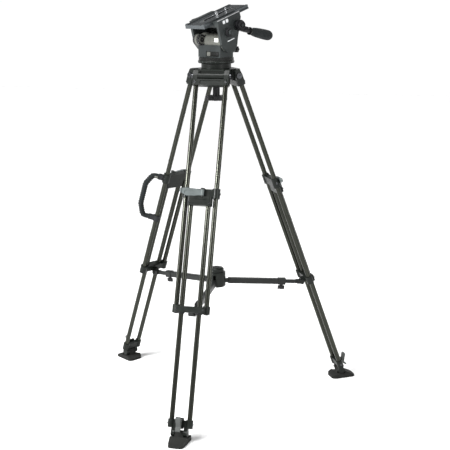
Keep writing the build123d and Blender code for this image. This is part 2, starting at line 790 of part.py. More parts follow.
def foot_bracket(frame):
    with BuildPart() as bracket:
        with BuildSketch(top(frame, INNER_D, 0, -1131)):
            with Locations((0, INNER_W), (0, -INNER_W)):
                Circle(11.5)
        extrude(amount=26)
        with BuildSketch(top(frame, INNER_D, 0, -1129)):
            Rectangle(15, 60)
        extrude(amount=22)
        # centre plate
        with BuildSketch(front(frame, INNER_D + 6, 0, -1116)):
            RectangleRounded(26, 34, 4)
        extrude(amount=4)
        # twin knuckles of the ankle
        for hand in (-1, 1):
            with BuildSketch(side(frame, 0, hand * 20.2, 0)):
                with Locations((INNER_D, -ANKLE_S)):
                    Circle(11.5)
                with Locations((INNER_D, -1134)):
                    Rectangle(15, 20)
            extrude(amount=6.2, both=True)
        with BuildSketch(side(frame)):
            with Locations((INNER_D, -ANKLE_S)):
                Circle(4)
        extrude(amount=24, both=True)
        # ears and pin of the latch
        for hand in (-1, 1):
            with BuildSketch(side(frame, 0, hand * 10.6, 0)):
                with Locations((21.5, -1106)):
                    Circle(3.6)
                with Locations((18, -1106)):
                    Rectangle(7, 7.2)
            extrude(amount=1.8, both=True)
        with BuildSketch(side(frame)):
            with Locations((21.5, -1106)):
                Circle(1.5)
        extrude(amount=11, both=True)
        with BuildSketch(top(frame, INNER_D, 0, -LOWER_END)):
            with Locations((0, INNER_W), (0, -INNER_W)):
                Circle(TUBE_R)
        extrude(amount=30, mode=Mode.SUBTRACT)
    return bracket.part


def foot_latch(frame):
    with BuildPart() as latch:
        with BuildSketch(side(frame)):
            with BuildLine():
                Polyline(
                    (19.4, -1106),
                    (23.6, -1106),
                    (25, -1115),
                    (27, -1118),
                    (37, -1098),
                    (41, -1096),
                    (45, -1099),
                    (45, -1103),
                    (32, -1127),
                    (32, -1132),
                    (38, -1139),
                    (36, -1142),
                    (27.5, -1134),
                    (21.6, -1120),
                    (19.4, -1106),
                )
            make_face()
        extrude(amount=7.6, both=True)
        with BuildSketch(side(frame)):
            with Locations((21.5, -1106)):
                Circle(3.0)
        extrude(amount=8.4, both=True)
        with BuildSketch(side(frame)):
            with Locations((21.5, -1106)):
                Circle(1.5 + FIT)
        extrude(amount=12, both=True, mode=Mode.SUBTRACT)
    return latch.part


def foot_pad(azimuth):
    """Rubber foot that rocks on the ankle pin."""
    floor, pin_z = ankle_frame(azimuth)
    with BuildPart() as pad:
        with BuildSketch(side(floor)):
            with BuildLine():
                Polyline(
                    (-40, 0),
                    (58, 0),
                    (58, 5),
                    (19, 22),
                    (13.5, 22),
                    (12.5, 15),
                    (-12.5, 15),
                    (-16, 17),
                    (-40, 8),
                    (-40, 0),
                )
            make_face()
        extrude(amount=32, both=True)
        with BuildSketch(top(floor, 0, 0, -1)):
            with Locations((-21, 16), (-21, -16)):
                Circle(14.5)
            with Locations((42, 13.5), (42, -13.5)):
                Circle(11.5)
            make_hull()
        extrude(amount=26, mode=Mode.INTERSECT)
        with BuildSketch(side(floor)):
            with Locations((0, pin_z)):
                Circle(9)
            with Locations((0, 10)):
                Rectangle(30, 8)
            make_hull()
        extrude(amount=13.6, both=True)
        with BuildSketch(side(floor)):
            with Locations((0, pin_z)):
                Circle(4 + FIT)
        extrude(amount=20, both=True, mode=Mode.SUBTRACT)
        # tread grooves under the sole
        with BuildSketch(top(floor, 8, 0, 0)):
            with GridLocations(13, 1, 5, 1):
                Rectangle(3, 38)
        extrude(amount=1.5, mode=Mode.SUBTRACT)
    return pad.part


for side_name, azimuth in LEGS.items():
    leg = leg_frame(azimuth)
    keep(leg_casting(leg), side_name + "_leg_casting")
    keep(tube_pair(leg, OUTER_W, 0, TUBE_TOP, TUBE_END), side_name + "_upper_tubes")
    keep(lower_bracket(leg), side_name + "_lower_bracket")
    keep(clamp_block(leg), side_name + "_clamp_block")
    keep(clamp_lever(leg), side_name + "_clamp_lever")
    keep(tube_pair(leg, INNER_W, INNER_D, CLAMP_TOP + 34, LOWER_END), side_name + "_lower_tubes")
    keep(foot_bracket(leg), side_name + "_foot_bracket")
    keep(foot_latch(leg), side_name + "_foot_latch")
    keep(foot_pad(azimuth), side_name + "_foot_pad")


# ---------------------------------------------------------------- spreader
def spreader_rod(frame):
    """Sliding rod of a spreader arm, forked at the leg pivot."""
    with BuildPart() as rod:
        for hand in (-1, 1):
            with BuildSketch(side(frame, 0, hand * 9.4, 0)):
                Circle(8)
                with Locations((9, 0)):
                    Rectangle(18, 12)
                Circle(3 + FIT, mode=Mode.SUBTRACT)
            extrude(amount=2, both=True)
        with BuildSketch(front(frame, 12, 0, 0)):
            Rectangle(22.8, 12)
        extrude(amount=6)
        with BuildSketch(front(frame, 16, 0, 0)):
            Rectangle(10, 12)
        extrude(amount=199)
    return rod.part


def spreader_tube(frame, eye):
    """Outer tube of a spreader arm, with the hub eye and the lock boss."""
    start = ARM_LEN - ARM_OUT
    with BuildPart() as tube:
        with BuildSketch(front(frame, start, 0, 0)):
            RectangleRounded(16.6, 20, 3)
        extrude(amount=ARM_OUT - 18)
        with BuildSketch(front(frame, start, 0, 0)):
            RectangleRounded(20.6, 24, 4)
        extrude(amount=24)
        with BuildSketch(side(frame)):
            with Locations((ARM_LEN, 0)):
                Circle(7)
            with Locations((ARM_LEN - 12, 0)):
                Rectangle(24, 14)
        extrude(amount=4.2, both=True)
        with BuildSketch(front(frame, start - 1, 0, 0)):
            Rectangle(10.6, 12.6)
        extrude(amount=ARM_OUT - 27, mode=Mode.SUBTRACT)
        with BuildSketch(side(frame)):
            with Locations((ARM_LEN, 0)):
                Circle(eye)
        extrude(amount=20, both=True, mode=Mode.SUBTRACT)
        # boss and bore of the lock knob
        with BuildSketch(top(frame, start + 12, 0, -16)):
            Circle(6)
        extrude(amount=8)
        with BuildSketch(top(frame, start + 12, 0, -18)):
            Circle(3 + FIT)
        extrude(amount=11.2, mode=Mode.SUBTRACT)
    return tube.part


def spreader_knob(frame):
    start = ARM_LEN - ARM_OUT
    with BuildPart() as knob:
        with BuildSketch(top(frame, start + 12, 0, -28)):
            SlotOverall(25, 9)
            Circle(6.5)
        extrude(amount=11.6)
        with BuildSketch(top(frame, start + 12, 0, -28)):
            Circle(3)
        extrude(amount=21)
    return knob.part


for side_name, azimuth in LEGS.items():
    arm = arm_frame(azimuth)
    # the loops of the left and right arms close at loose hub eyes; each end plate
    # also has room beside it in the hub
    eye = 2.5 + FIT if side_name == "front" else 4.3
    keep(spreader_rod(arm), side_name + "_spreader_rod")
    keep(spreader_tube(arm, eye), side_name + "_spreader_tube")
    keep(spreader_knob(arm), side_name + "_spreader_knob")

with BuildPart() as spreader_hub:
    with BuildSketch(top(HEAD, 0, 0, 377)):
        Circle(31)
    extrude(amount=50)
    chamfer(spreader_hub.faces().sort_by(Axis.Z)[0].edges(), 2.5)
    for azimuth in LEGS.values():
        spoke = radial_frame(azimuth)
        with BuildSketch(top(spoke, 27, 0, 376)):
            Rectangle(28, 10)
        extrude(amount=44, mode=Mode.SUBTRACT)
        with BuildSketch(side(spoke)):
            with Locations((HUB_R, HUB_Z)):
                Circle(2.5)
        extrude(amount=14, both=True)
    with BuildSketch(top(HEAD, 0, 0, 427)):
        Circle(25)
    extrude(amount=16)
    chamfer(spreader_hub.faces().sort_by(Axis.Z)[-1].edges(), 4.5)
spreader_hub.part.label = "spreader_hub"
keep(spreader_hub.part, "spreader_hub")

# ---------------------------------------------------------------- carry handle
# It stands off the left leg's outer tube, halfway between the leg's face and its side.
_left = leg_frame(LEGS["left"])
CARRY = Plane(
    origin=spot_of(_left, 0, OUTER_W, 0),
    x_dir=_left.x_dir + _left.y_dir,
    z_dir=_left.z_dir,
)
HANDLE_TOP, HANDLE_END = 391.0, 549.0    # mounts, measured down the leg
with BuildPart() as carry_handle_grip:
    with BuildLine(side(CARRY)) as grip_path:
        FilletPolyline(
            (24, -HANDLE_TOP),
            (48, -HANDLE_TOP),
            (66, -427),
            (66, -507),
            (50, -HANDLE_END),
            (24, -HANDLE_END),
            radius=15,
        )
    with BuildSketch(front(CARRY, 24, 0, -HANDLE_TOP)):
        Circle(10.5)
    sweep()
carry_handle_grip.part.label = "carry_handle_grip"
keep(carry_handle_grip.part, "carry_handle_grip")

with BuildPart() as carry_handle_mounts:
    # upper mount, fixed to the collar of the clamp block
    with BuildSketch(front(CARRY, 12.6, 0, -HANDLE_TOP)):
        Circle(11)
    extrude(amount=11.4)
    # lower mount, a collar that slides on the upper tube
    with BuildSketch(top(CARRY, 0, 0, -HANDLE_END - 10)):
        Circle(12)
    extrude(amount=20)
    with BuildSketch(front(CARRY, 4, 0, -HANDLE_END)):
        Circle(10.4)
    extrude(amount=20)
    with BuildSketch(top(CARRY, 0, 0, -HANDLE_END - 15)):
        Circle(TUBE_R + RUN)
    extrude(amount=30, mode=Mode.SUBTRACT)
carry_handle_mounts.part.label = "carry_handle_mounts"
keep(carry_handle_mounts.part, "carry_handle_mounts")

for name, part in nodes.items():
    solids = len(part.solids())
    print(name, solids, round(part.volume), part.is_valid)
box = Compound(children=list(nodes.values())).bounding_box()
print(len(nodes), box.min, box.max)
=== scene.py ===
import bmesh
import bpy
import json
import math
from mathutils import Matrix, Vector


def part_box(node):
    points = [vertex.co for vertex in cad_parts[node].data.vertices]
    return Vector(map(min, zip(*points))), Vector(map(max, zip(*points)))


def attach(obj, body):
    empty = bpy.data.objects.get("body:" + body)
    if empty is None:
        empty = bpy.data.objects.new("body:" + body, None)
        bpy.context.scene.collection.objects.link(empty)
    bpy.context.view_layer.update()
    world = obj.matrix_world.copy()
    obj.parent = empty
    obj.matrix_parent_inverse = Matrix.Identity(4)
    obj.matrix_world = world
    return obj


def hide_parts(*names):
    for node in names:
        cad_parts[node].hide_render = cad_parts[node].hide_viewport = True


# Fluid-head tripod: materials, fasteners, seals, marks and rubber for the CAD model.
# Metres, +Z up, the same frame as the CAD. Local drawing sizes are in millimetres.

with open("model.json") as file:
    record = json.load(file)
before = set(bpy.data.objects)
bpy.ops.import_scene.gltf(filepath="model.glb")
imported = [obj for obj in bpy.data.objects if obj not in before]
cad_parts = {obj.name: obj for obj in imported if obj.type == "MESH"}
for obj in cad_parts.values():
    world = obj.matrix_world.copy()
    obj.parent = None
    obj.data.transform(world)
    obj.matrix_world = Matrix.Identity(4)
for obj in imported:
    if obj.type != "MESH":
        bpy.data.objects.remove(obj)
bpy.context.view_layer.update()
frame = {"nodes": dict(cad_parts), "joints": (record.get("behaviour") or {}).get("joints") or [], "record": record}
MM = 0.001
LEGS = ("front", "left", "right")
JOINTS = {joint["name"]: joint for joint in frame["joints"]}
NODES = frame["nodes"]

# dimensions as in the CAD, in millimetres and degrees
OUTER_W, INNER_W, INNER_D = 49.5, 29.06, 8.2              # tube pairs of a leg
CLAMP_TOP, BRACKET_END, ANKLE_S = 375.0, 776.0, 1146.0    # measured down the leg
HANDLE_TOP, HANDLE_END = 391.0, 549.0                     # carry handle, down the leg
HANDLE_BEND = 15.0
CHEEK_OUT = 69.5                                          # outer face of a cheek
BAR_OFFSET, GRIP_DROP, GRIP_START = 11.0, 29.1, 45.6      # pan bar
BLOCK_FRONT, LABEL_Y, LABEL_Z = 33.0, 18.5, 1168.0        # front block of the pan body
WINDOW_Y, WINDOW_Z = 34.0, 1213.0
DIAL_X, DIAL_Z, DIAL_FACE = 36.5, 1213.5, -28.8
FLANGE_R, FLANGE_Z = 59.9, 1143.0                         # edge of the head base
LEVEL_AT = (-41, -6, 1184.8)
PLATE_TOP = 82.0

# ribs of the carry handle
RIB_STEP, RIB_HEIGHT, RIB_R, PLAIN_R = 2.1, 1.25, 9.1, 8.6


# ---------------------------------------------------------------- places
def spot(joint):
    return Vector(JOINTS[joint]["pos_m"])


def axis(joint):
    return Vector(JOINTS[joint]["axis"]).normalized()


def place(origin, x, y, z):
    """Local drawing frame: millimetres along x, y, z from the origin."""
    turn = Matrix((x, y, z)).transposed().to_4x4()
    return Matrix.Translation(origin) @ turn @ Matrix.Scale(MM, 4)


def leg_place(leg):
    """x outward from the leg's face, y across, z up the leg; s down the leg is -z."""
    up = -axis(leg + "_leg_extend")
    across = -axis(leg + "_foot_rock")
    out = across.cross(up)
    origin = spot(leg + "_foot_rock") - out * INNER_D * MM + up * ANKLE_S * MM
    return place(origin, out, across, up)


NEAR = axis("tilt")
UP = Vector((0, 0, 1))
PAN = Vector((spot("pan").x, spot("pan").y, 0))
HEAD = place(PAN, NEAR.cross(UP), NEAR, UP)
SLIDE = axis("plate_slide")
PLATFORM = place(spot("tilt"), SLIDE, NEAR, SLIDE.cross(NEAR))
DROP = math.radians(GRIP_DROP)
LIFT = SLIDE.cross(NEAR)
BAR_ALONG = -SLIDE * math.cos(DROP) - LIFT * math.sin(DROP)
BAR_UP = LIFT * math.cos(DROP) - SLIDE * math.sin(DROP)
BAR = place(spot("pan_bar_swing"), BAR_ALONG, -NEAR, BAR_UP)


def facing(base, at, along):
    """A drawing frame at a point of another one, its z along a direction of that one."""
    z = Vector(along).normalized()
    guide = Vector((0, 0, 1)) if abs(z.z) < 0.9 else Vector((0, 1, 0))
    x = guide.cross(z).normalized()
    y = z.cross(x)
    return base @ Matrix.Translation(Vector(at)) @ Matrix((x, y, z)).transposed().to_4x4()


# ---------------------------------------------------------------- materials
class Shader:
    """Node graph of one material, built up by small steps."""

    def __init__(self, name):
        self.material = bpy.data.materials.new(name)
        self.material.use_nodes = True
        self.nodes = self.material.node_tree.nodes
        self.links = self.material.node_tree.links
        self.bsdf = self.nodes["Principled BSDF"]
        self.coords = self.nodes.new("ShaderNodeTexCoord").outputs["Object"]
        self.height = None

    def constant(self, **values):
        """Sets sockets that are the same all over the surface."""
        for key, value in values.items():
            self.bsdf.inputs[key.replace("_", " ")].default_value = value

    def along(self, direction, squeeze):
        """Coordinates squeezed along a direction, so that grain runs that way."""
        d = Vector(direction).normalized()
        guide = UP if abs(d.z) < 0.9 else Vector((1, 0, 0))
        e = guide.cross(d).normalized()
        f = d.cross(e)
        joined = self.nodes.new("ShaderNodeCombineXYZ")
        for slot, vector in enumerate((e, f, d * squeeze)):
            dot = self.nodes.new("ShaderNodeVectorMath")
            dot.operation = "DOT_PRODUCT"
            self.links.new(self.coords, dot.inputs[0])
            dot.inputs[1].default_value = vector
            self.links.new(dot.outputs["Value"], joined.inputs[slot])
        return joined.outputs["Vector"]

    def noise(self, scale, detail=3.0, coords=None):
        """Soft noise; the scale is in cycles per metre."""
        node = self.nodes.new("ShaderNodeTexNoise")
        node.inputs["Scale"].default_value = scale
        node.inputs["Detail"].default_value = detail
        self.links.new(coords or self.coords, node.inputs["Vector"])
        return node.outputs["Fac"]

    def ramp(self, value, stops):
        """Colour from a noise value, by stops of (position, colour)."""
        node = self.nodes.new("ShaderNodeValToRGB")
        for element, (position, colour) in zip(node.color_ramp.elements, (stops[0], stops[-1])):
            element.position = position
            element.color = (*colour, 1.0)
        for position, colour in stops[1:-1]:
            node.color_ramp.elements.new(position).color = (*colour, 1.0)
        self.links.new(value, node.inputs["Fac"])
        return node.outputs["Color"]

    def span(self, value, low, high):
        """Number between low and high, from the usual range of a noise value."""
        node = self.nodes.new("ShaderNodeMapRange")
        node.inputs["From Min"].default_value = 0.3
        node.inputs["From Max"].default_value = 0.7
        node.inputs["To Min"].default_value = low
        node.inputs["To Max"].default_value = high
        self.links.new(value, node.inputs["Value"])
        return node.outputs["Result"]

    def bump(self, value, depth, distance):
        """Adds a relief on top of the ones before it."""
        node = self.nodes.new("ShaderNodeBump")
        node.inputs["Strength"].default_value = depth
        node.inputs["Distance"].default_value = distance
        self.links.new(value, node.inputs["Height"])
        if self.height is not None:
            self.links.new(self.height, node.inputs["Normal"])
        self.height = node.outputs["Normal"]

    def done(self, colour, roughness):
        """Joins colour, roughness and relief to the shader."""
        self.links.new(colour, self.bsdf.inputs["Base Color"])
        self.links.new(roughness, self.bsdf.inputs["Roughness"])
        if self.height is not None:
            self.links.new(self.height, self.bsdf.inputs["Normal"])
        return self.material


def tint(colour, factor):
    return tuple(min(1.0, channel * factor) for channel in colour)


def powder_coat(name, colour, rough=(0.38, 0.52), grain=650.0, depth=0.16):
    """Cast metal under a fine textured paint."""
    s = Shader(name)
    s.constant(Metallic=0.0, Specular_IOR_Level=0.17)
    base = s.ramp(s.noise(16.0), [(0.3, tint(colour, 0.82)), (0.5, colour), (0.7, tint(colour, 1.2))])
    s.bump(s.noise(grain, 4.0), depth, 0.0006)
    s.bump(s.noise(70.0, 2.0), 0.06, 0.0008)
    return s.done(base, s.span(s.noise(55.0, 4.0), *rough))


def anodised(name, colour, direction, metallic, rough):
    """Drawn aluminium: fine lines run the way it was drawn."""
    s = Shader(name)
    s.constant(Metallic=metallic, Specular_IOR_Level=0.5)
    lines = s.noise(900.0, 2.0, s.along(direction, 0.015))
    base = s.ramp(lines, [(0.3, tint(colour, 0.78)), (0.5, colour), (0.72, tint(colour, 1.3))])
    s.bump(lines, 0.05, 0.0003)
    streak = s.noise(120.0, 3.0, s.along(direction, 0.05))
    return s.done(base, s.span(streak, *rough))


def bright_metal(name, colour):
    """Bare turned or milled metal with a fine grain and dull smudges."""
    s = Shader(name)
    s.constant(Metallic=1.0)
    base = s.ramp(s.noise(30.0), [(0.3, tint(colour, 0.85)), (0.7, tint(colour, 1.1))])
    s.bump(s.noise(900.0, 3.0), 0.08, 0.0003)
    return s.done(base, s.span(s.noise(90.0, 4.0), 0.2, 0.4))


def moulded(name, colour, rough=(0.5, 0.66), grain=1100.0, depth=0.12):
    """Moulded plastic with a spark-eroded grain."""
    s = Shader(name)
    s.constant(Specular_IOR_Level=0.18)
    base = s.ramp(s.noise(24.0), [(0.3, tint(colour, 0.85)), (0.7, tint(colour, 1.18))])
    s.bump(s.noise(grain, 3.0), depth, 0.0004)
    return s.done(base, s.span(s.noise(80.0, 3.0), *rough))


def rubber(name, colour, grain, dust):
    """Matt rubber, a little dusty where it lies."""
    s = Shader(name)
    s.constant(Specular_IOR_Level=0.16, Sheen_Weight=0.03, Sheen_Roughness=0.6)
    base = s.ramp(s.noise(18.0, 5.0), [(0.35, tint(colour, 0.85)), (0.75, tint(colour, 1.0 + dust))])
    s.bump(s.noise(grain, 4.0), 0.22, 0.0005)
    return s.done(base, s.span(s.noise(60.0, 4.0), 0.68, 0.9))


def clear_window(name, colour):
    """Clear plastic over a pale ground."""
    s = Shader(name)
    s.constant(Specular_IOR_Level=0.6, Coat_Weight=0.6, Coat_Roughness=0.05)
    base = s.ramp(s.noise(60.0), [(0.3, tint(colour, 0.94)), (0.7, colour)])
    return s.done(base, s.span(s.noise(40.0), 0.05, 0.14))


def finishes():
    """One material per slot of the record, with the grain of tubes along each leg."""
    made = {
        "cast_charcoal": powder_coat("cast_charcoal", (0.0075, 0.0092, 0.0078), (0.28, 0.42), 520.0, 0.2),
        "bolt_steel": bright_metal("bolt_steel", (0.07, 0.072, 0.076)),
        "knob_black": moulded("knob_black", (0.01, 0.01, 0.011), (0.38, 0.54)),
        "ring_black": moulded("ring_black", (0.007, 0.0075, 0.007), (0.2, 0.3), 1100.0, 0.04),
        "head_slate": powder_coat("head_slate", (0.026, 0.03, 0.03), (0.28, 0.4), 800.0, 0.1),
        "housing_grey": powder_coat("housing_grey", (0.12, 0.123, 0.11), (0.24, 0.36), 800.0, 0.1),
        "dial_black": moulded("dial_black", (0.02, 0.02, 0.021)),
        "bubble_glass": clear_window("bubble_glass", (0.45, 0.62, 0.12)),
        "bright_metal": bright_metal("bright_metal", (0.66, 0.67, 0.68)),
        "lever_grey": powder_coat("lever_grey", (0.1, 0.115, 0.115), (0.28, 0.4), 800.0, 0.08),
        "plate_slate": anodised("plate_slate", (0.085, 0.094, 0.1), SLIDE, 0.75, (0.2, 0.34)),
        "bar_black": powder_coat("bar_black", (0.008, 0.008, 0.009), (0.26, 0.38)),
        "grip_rubber": rubber("grip_rubber", (0.0085, 0.0105, 0.011), 700.0, 0.3),
        "mount_black": moulded("mount_black", (0.014, 0.0145, 0.016)),
        "latch_grey": rubber("latch_grey", (0.06, 0.064, 0.062), 900.0, 0.3),
        "foot_rubber": rubber("foot_rubber", (0.009, 0.0095, 0.0085), 500.0, 0.5),
        "arm_black": powder_coat("arm_black", (0.0115, 0.0125, 0.012), (0.26, 0.38)),
        "mark_pale": moulded("mark_pale", (0.62, 0.64, 0.65), (0.4, 0.5)),
        "window_pale": clear_window("window_pale", (0.75, 0.76, 0.74)),
    }
    for leg in LEGS:
        name = "tube_olive_" + leg
        made[name] = anodised(name, (0.03, 0.0315, 0.0255), axis(leg + "_leg_extend"), 0.85, (0.18, 0.28))
    return made


FINISH = finishes()


def dress_cad():
    """Gives every carried-over CAD node the material of its record slot."""
    for row in frame["record"]["subparts"]:
        name, finish = row["node"], row["material_slot"]
        if finish == "tube_olive":
            finish = "tube_olive_" + name.split("_")[0]
        for slot in NODES[name].material_slots:
            slot.material = FINISH[finish]


# ---------------------------------------------------------------- mesh helpers
def add(name, mesh_builder, at, body, finish):
    """Turns a drawing in millimetres into a piece that rides on a body."""
    bm = bmesh.new()
    mesh_builder(bm)
    bmesh.ops.recalc_face_normals(bm, faces=bm.faces)
    bmesh.ops.transform(bm, matrix=at, verts=bm.verts)
    if at.determinant() < 0:
        bmesh.ops.reverse_faces(bm, faces=bm.faces)
    mesh = bpy.data.meshes.new(name)
    bm.to_mesh(mesh)
    bm.free()
    for polygon in mesh.polygons:
        polygon.use_smooth = True
    mesh.set_sharp_from_angle(angle=math.radians(32))
    piece = bpy.data.objects.new(name, mesh)
    bpy.context.scene.collection.objects.link(piece)
    mesh.materials.append(FINISH[finish])
    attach(piece, body)
    return piece


def ring_points(bm, radius, height, steps, hexed):
    """A closed loop of points about z, round or six-sided."""
    loop = []
    for step in range(steps):
        angle = 2 * math.pi * step / steps
        r = radius
        if hexed:
            r = radius * math.cos(math.pi / 6) / math.cos(angle % (math.pi / 3) - math.pi / 6)
        loop.append(bm.verts.new((r * math.cos(angle), r * math.sin(angle), height)))
    return loop


def stitch(bm, first, second):
    """Joins two loops of points by a band of faces."""
    for i in range(len(first)):
        j = (i + 1) % len(first)
        bm.faces.new((first[i], first[j], second[j], second[i]))


def turned(rings, steps, closed=False):
    """A turned solid from (radius, height, six-sided) rings; its ends are filled or joined."""

    def build(bm):
        loops = []
        for radius, height, hexed in rings:
            loops.append(ring_points(bm, radius, height, steps, hexed))
        for first, second in zip(loops, loops[1:]):
            stitch(bm, first, second)
        if closed:
            stitch(bm, loops[-1], loops[0])
        else:
            bm.faces.new(loops[0])
            bm.faces.new(loops[-1])

    return build


def socket_head(r, h):
    """Socket cap screw: a chamfered head with a hexagon recess."""
    chamfer, hexagon = 0.5, r * 0.52
    rings = [(r, 0, False), (r, h - chamfer, False), (r - chamfer, h, False)]
    rings += [(hexagon, h, True), (hexagon, h * 0.35, True)]
    return turned(rings, 24)


def rounded_outline(w, h, r):
    """Points round a rectangle with round corners."""
    steps = 6
    points = []
    for cx, cy, start in ((1, 1, 0), (-1, 1, 90), (-1, -1, 180), (1, -1, 270)):
        for step in range(steps + 1):
            a = math.radians(start + 90 * step / steps)
            points.append((cx * (w / 2 - r) + r * math.cos(a), cy * (h / 2 - r) + r * math.sin(a)))
    return points


def pad(w, h, r, t, edge=0.3, at=(0, 0)):
    """A flat pad with round corners and an eased upper edge, standing on z = 0."""

    def build(bm):
        loops = []
        for inset, z in ((0, 0), (0, t - edge), (edge * 0.4, t - edge * 0.3), (edge, t)):
            outline = rounded_outline(w - 2 * inset, h - 2 * inset, max(r - inset, 0.05))
            loops.append([bm.verts.new((x + at[0], y + at[1], z)) for x, y in outline])
        for first, second in zip(loops, loops[1:]):
            stitch(bm, first, second)
        bm.faces.new(loops[0])
        bm.faces.new(loops[-1])

    return build


def several(builders):
    """Several drawings in one piece."""

    def build(bm):
        for builder in builders:
            builder(bm)

    return build


# ---------------------------------------------------------------- head
def cheek_details():
    """Pale unlettered marks on the near cheek, the lever's dot and the cheek screws."""
    above = facing(PLATFORM, (0, CHEEK_OUT, 71), (0, 1, 0))
    blocks = [pad(10.5, 11, 3.2, 0.35, 0.12, (hand * 7.2, 0)) for hand in (-1, 1)]
    add("cheek_mark_pair", several(blocks), above, "cradle", "mark_pale")
    beside = facing(PLATFORM, (-5, CHEEK_OUT, 7.7), (0, 1, 0))
    add("cheek_mark_line", pad(31, 2.6, 1.2, 0.35, 0.12), beside, "cradle", "mark_pale")
    dot = facing(PLATFORM, (1, CHEEK_OUT + 21.2, 35), (0, 1, 0))
    rings = [(3.6, 0, False), (3.6, 0.3, False), (3.0, 0.6, False), (1.2, 0.7, False)]
    add("tilt_lock_dot", turned(rings, 28), dot, "tilt_lock", "mark_pale")
    for number, x in enumerate((-52, 22)):
        at = facing(PLATFORM, (x, -CHEEK_OUT, 56), (0, -1, 0))
        add(f"far_cheek_screw_{number}", socket_head(3.4, 1.8), at, "cradle", "bolt_steel")


def front_panels():
    """Blank label plate with a paler end and a round spot, and the lens of the scale window."""
    label = facing(HEAD, (BLOCK_FRONT - 2, LABEL_Y, LABEL_Z), (1, 0, 0))
    add("label_plate", pad(59, 14.6, 2.2, 1.0), label, "pan_body", "ring_black")
    end = facing(HEAD, (BLOCK_FRONT - 1, LABEL_Y - 20, LABEL_Z), (1, 0, 0))
    add("label_end", pad(16, 12.6, 1.2, 0.3, 0.1), end, "pan_body", "housing_grey")
    spot_face = facing(HEAD, (BLOCK_FRONT - 1, LABEL_Y + 19.5, LABEL_Z), (1, 0, 0))
    rings = [(4.6, 0, False), (4.6, 0.5, False), (3.8, 0.9, False)]
    rings += [(2.4, 0.9, True), (2.2, 0.3, True)]
    add("label_spot", turned(rings, 32), spot_face, "pan_body", "knob_black")
    window = facing(HEAD, (29.8, WINDOW_Y, WINDOW_Z), (1, 0, 0))
    add("scale_window", pad(19.6, 12.6, 1.8, 0.9, 0.2), window, "pan_body", "window_pale")
    ticks = []
    for tick in range(7):
        height = 2.6 if tick % 2 else 4.4
        ticks.append(pad(0.35, height, 0.15, 0.12, 0.04, ((tick - 3) * 2.4, -3)))
    on_window = facing(HEAD, (30.7, WINDOW_Y, WINDOW_Z), (1, 0, 0))
    add("scale_window_ticks", several(ticks), on_window, "pan_body", "ring_black")


def pan_base_details():
    """Pan scale round the base flange, and the circle and bubble of the round level."""
    for number in range(24):
        a = math.radians(15 * number)
        edge = (FLANGE_R * math.cos(a), FLANGE_R * math.sin(a), FLANGE_Z)
        at = facing(HEAD, edge, (math.cos(a), math.sin(a), 0))
        height = 4.4 if number % 3 == 0 else 2.6
        add(f"pan_scale_tick_{number}", pad(0.6, height, 0.2, 0.3, 0.1), at, "head_base", "lever_grey")
    level = facing(HEAD, LEVEL_AT, (0, 0, 1))
    rings = [(5.0, -0.2, False), (5.0, 0.15, False), (4.5, 0.2, False), (4.5, -0.2, False)]
    add("level_circle", turned(rings, 36, True), level, "pan_body", "ring_black")
    bubble = [(1.9, -0.1, False), (1.9, 0.12, False), (1.3, 0.3, False), (0.6, 0.38, False)]
    add("level_bubble", turned(bubble, 24), level, "pan_body", "window_pale")


def dial_details():
    """Ring, hub and pale ticks on the face of the counterbalance dial, and a pale band round its side that is a
    painted highlight.
    """
    face = facing(HEAD, (DIAL_X, DIAL_FACE, DIAL_Z), (0, 1, 0))
    ring = [(8.2, -2.2, False), (12.6, -2.2, False), (12.6, 0.2, False)]
    ring += [(11.8, 0.7, False), (8.2, 0.7, False)]
    add("dial_ring", turned(ring, 60, True), face, "counterbalance_dial", "housing_grey")
    hub = [(6.6, -0.4, False), (6.6, 1.0, False), (5.4, 1.5, False), (2.6, 1.5, True), (2.4, 0.4, True)]
    add("dial_hub", turned(hub, 36), face, "counterbalance_dial", "knob_black")
    rim = Matrix.Translation((16.2, 0, -0.05))
    for number in range(12):
        at = face @ Matrix.Rotation(math.radians(30 * number), 4, "Z") @ rim
        tick = pad(1.8, 0.7, 0.2, 0.25, 0.08)
        add(f"dial_tick_{number}", tick, at, "counterbalance_dial", "mark_pale")
    # Pale band round the dial's side: lighter housing grey set where light glances off the knob, a painted
    # highlight.
    highlight_band = [(17.7, 0, False), (18.3, 0.6, False), (18.3, 9.4, False), (17.7, 10.0, False)]
    end = facing(HEAD, (DIAL_X, DIAL_FACE - 17.7, DIAL_Z), (0, 1, 0))
    add("dial_highlight_band", turned(highlight_band, 60, True), end, "counterbalance_dial", "housing_grey")


def plate_details():
    """Rubber strips, bright lips along the slot that paint a reflection down the centre channel, and the two
    eyelets of the sliding plate.
    """
    for name, hand in (("near", 1), ("far", -1)):
        at = facing(PLATFORM, (-29.5, hand * 41.5, PLATE_TOP + 1.2), (0, 0, 1))
        add(f"plate_{name}_strip", pad(176, 5.6, 1.4, 0.7, 0.25), at, "camera_plate", "grip_rubber")
        # Bright metal lips along the slot: pale strips set down the centre channel as a painted reflection.
        at = facing(PLATFORM, (-37.5, hand * 10.6, PLATE_TOP), (0, 0, 1))
        add(f"plate_{name}_slot_reflection_strip", pad(118, 1.6, 0.7, 0.5, 0.15), at, "camera_plate", "bright_metal")
    eyelet = [(8.0, 0, False), (8.0, 0.5, False), (6.4, 0.9, False), (6.4, 0, False)]
    for number, x in enumerate((38.0, -96.0)):
        at = facing(PLATFORM, (x, 0, PLATE_TOP - 0.4), (0, 0, 1))
        add(f"plate_rivet_{number}", turned(eyelet, 28, True), at, "camera_plate", "bright_metal")


def pan_bar_details():
    """Collar at the start of the pan bar grip."""
    collar = [(8.2, 0, False), (12.3, 0, False), (12.8, 1.0, False), (12.8, 4.4, False)]
    collar += [(12.2, 5.4, False), (8.2, 5.4, False)]
    at = facing(BAR, (GRIP_START, 0, -BAR_OFFSET), (1, 0, 0))
    add("grip_collar", turned(collar, 40, True), at, "pan_bar", "ring_black")


